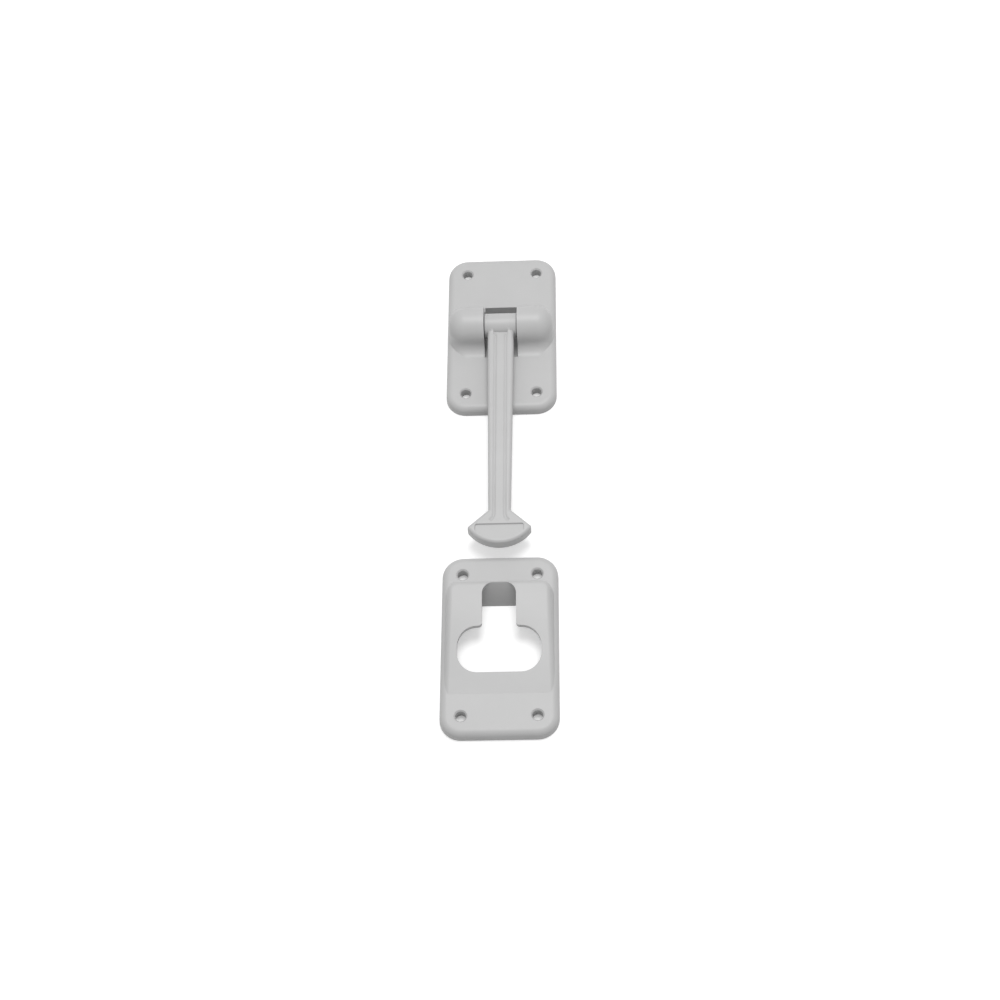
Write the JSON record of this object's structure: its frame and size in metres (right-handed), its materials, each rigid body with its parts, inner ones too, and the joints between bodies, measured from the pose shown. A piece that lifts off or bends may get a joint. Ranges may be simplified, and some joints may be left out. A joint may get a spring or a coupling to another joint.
{
  "type": "door holder",
  "caption": "T-style door holder: a hinge bracket carries a long swinging arm whose T-shaped head locks into the keyhole slot of a raised catch plate.",
  "frame": {"origin": "middle of the hinge bracket's mounting face", "axes": "+Z out of the mounting faces, +X along the hinge pin, +Y from the catch plate towards the bracket"},
  "size_m": [0.0508, 0.2473, 0.019],
  "materials": {
    "plate_plastic": "light grey moulded plastic, fine satin texture",
    "arm_plastic": "light grey moulded plastic, fine satin texture",
    "pin_steel": "plain drawn steel"
  },
  "bodies": {
    "base": {"hinge_bracket": "plate_plastic", "catch_plate": "plate_plastic"},
    "arm": {"arm": "arm_plastic", "hinge_pin": "pin_steel"}
  },
  "joints": [
    {"name": "arm_hinge", "type": "hinge", "parent": "base", "child": "arm", "pos_m": [0, 0, 0.0101], "axis": [-1, 0, 0], "range_deg": [0, 180]}
  ]
}
